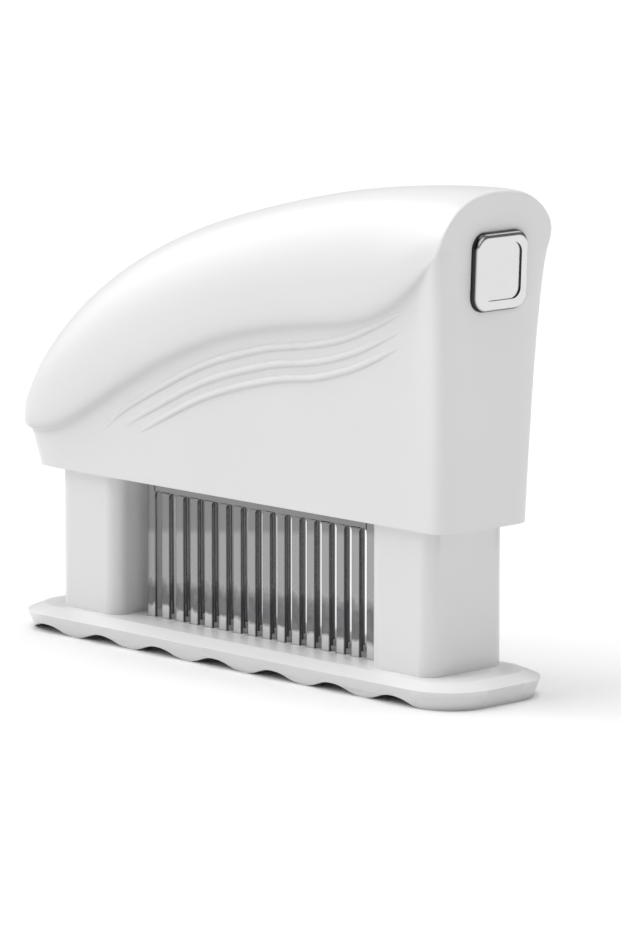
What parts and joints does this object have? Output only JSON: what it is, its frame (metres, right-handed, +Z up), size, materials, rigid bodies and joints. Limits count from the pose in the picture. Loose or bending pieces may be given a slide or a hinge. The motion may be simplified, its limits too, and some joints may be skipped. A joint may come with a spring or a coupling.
{
  "type": "blade meat tenderizer",
  "caption": "Press-down meat tenderizer: a curved hand grip on sprung columns drives rows of flat blades through a slotted foot.",
  "frame": {"origin": "middle of the foot, on the surface that it stands on", "axes": "+X along the handle towards its tall end, -Y to the front, +Z up"},
  "size_m": [0.152, 0.037, 0.1179],
  "materials": {
    "foot_moulding": "satin moulded ABS",
    "column_moulding": "satin moulded ABS",
    "handle_moulding": "satin moulded ABS",
    "inner_moulding": "plain moulded",
    "rod_acetal": "turned",
    "blade_steel": "stamped and ground stainless",
    "pin_steel": "drawn",
    "spring_wire": "drawn spring wire",
    "zinc_plated_steel": "bright zinc plate",
    "badge_chrome": "satin chrome plate"
  },
  "bodies": {
    "base": {"foot_plate": "foot_moulding", "left_column": "column_moulding", "right_column": "column_moulding", "left_spring_washer": "zinc_plated_steel", "right_spring_washer": "zinc_plated_steel", "left_spring": "spring_wire", "right_spring": "spring_wire", "column_screws": "zinc_plated_steel"},
    "handle": {"cover": "handle_moulding", "end_badge": "badge_chrome", "blade_holder": "inner_moulding", "front_blade_comb": "blade_steel", "middle_blade_comb": "blade_steel", "rear_blade_comb": "blade_steel", "front_spacer": "inner_moulding", "rear_spacer": "inner_moulding", "blade_pins": "pin_steel", "holder_screws": "zinc_plated_steel", "left_spring_rod": "rod_acetal", "right_spring_rod": "rod_acetal"}
  },
  "joints": [
    {"name": "press", "type": "slide", "parent": "base", "child": "handle", "axis": [0, 0, -1], "range_m": [0, 0.026], "stiffness_N_per_m": 800, "springref_m": -0.012, "deforming": ["left_spring", "right_spring"]}
  ]
}
